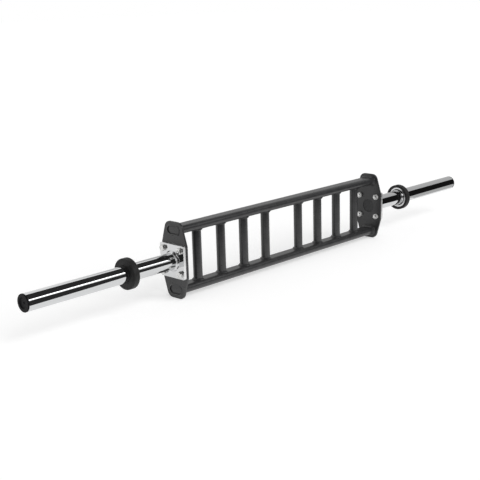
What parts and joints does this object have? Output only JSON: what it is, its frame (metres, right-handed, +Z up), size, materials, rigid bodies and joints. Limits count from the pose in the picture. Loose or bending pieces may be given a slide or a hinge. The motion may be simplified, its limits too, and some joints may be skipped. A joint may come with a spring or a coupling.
{
  "type": "swiss bar",
  "caption": "Ladder-shaped weightlifting bar with upright neutral-grip handles between two rails, end plates and bolted-on chrome sleeves with rubber-faced stop collars.",
  "frame": {"origin": "on the surface that the bar stands on, midway between the two end plates, below the axis of the sleeves", "axes": "+X along the bar from the left sleeve to the right one, +Y from front to back, +Z up"},
  "size_m": [1.9886, 0.104, 0.23],
  "materials": {
    "black_paint": "satin black powder coat",
    "chrome": "polished chrome plate",
    "zinc": "bright zinc plate",
    "rubber": "matt black rubber",
    "black_plastic": "fine-grained black plastic"
  },
  "bodies": {
    "root": {"upper_rail": "black_paint", "lower_rail": "black_paint", "grip_1": "black_paint", "grip_2": "black_paint", "grip_3": "black_paint", "grip_4": "black_paint", "grip_5": "black_paint", "grip_6": "black_paint", "grip_7": "black_paint", "grip_8": "black_paint", "end_plate_left": "black_paint", "upper_rail_plug_left": "black_paint", "lower_rail_plug_left": "black_paint", "sleeve_flange_left": "chrome", "sleeve_tube_left": "chrome", "sleeve_inner_plug_left": "black_plastic", "stop_collar_left": "chrome", "collar_bumper_left": "rubber", "sleeve_end_cap_left": "black_plastic", "flange_bolt_left_1": "zinc", "flange_bolt_left_2": "zinc", "flange_bolt_left_3": "zinc", "flange_bolt_left_4": "zinc", "bolt_washer_left_1": "zinc", "bolt_washer_left_2": "zinc", "bolt_washer_left_3": "zinc", "bolt_washer_left_4": "zinc", "flange_nut_left_1": "zinc", "flange_nut_left_2": "zinc", "flange_nut_left_3": "zinc", "flange_nut_left_4": "zinc", "end_plate_right": "black_paint", "upper_rail_plug_right": "black_paint", "lower_rail_plug_right": "black_paint", "sleeve_flange_right": "chrome", "sleeve_tube_right": "chrome", "sleeve_inner_plug_right": "black_plastic", "stop_collar_right": "chrome", "collar_bumper_right": "rubber", "sleeve_end_cap_right": "black_plastic", "flange_bolt_right_1": "zinc", "flange_bolt_right_2": "zinc", "flange_bolt_right_3": "zinc", "flange_bolt_right_4": "zinc", "bolt_washer_right_1": "zinc", "bolt_washer_right_2": "zinc", "bolt_washer_right_3": "zinc", "bolt_washer_right_4": "zinc", "flange_nut_right_1": "zinc", "flange_nut_right_2": "zinc", "flange_nut_right_3": "zinc", "flange_nut_right_4": "zinc"}
  },
  "joints": []
}
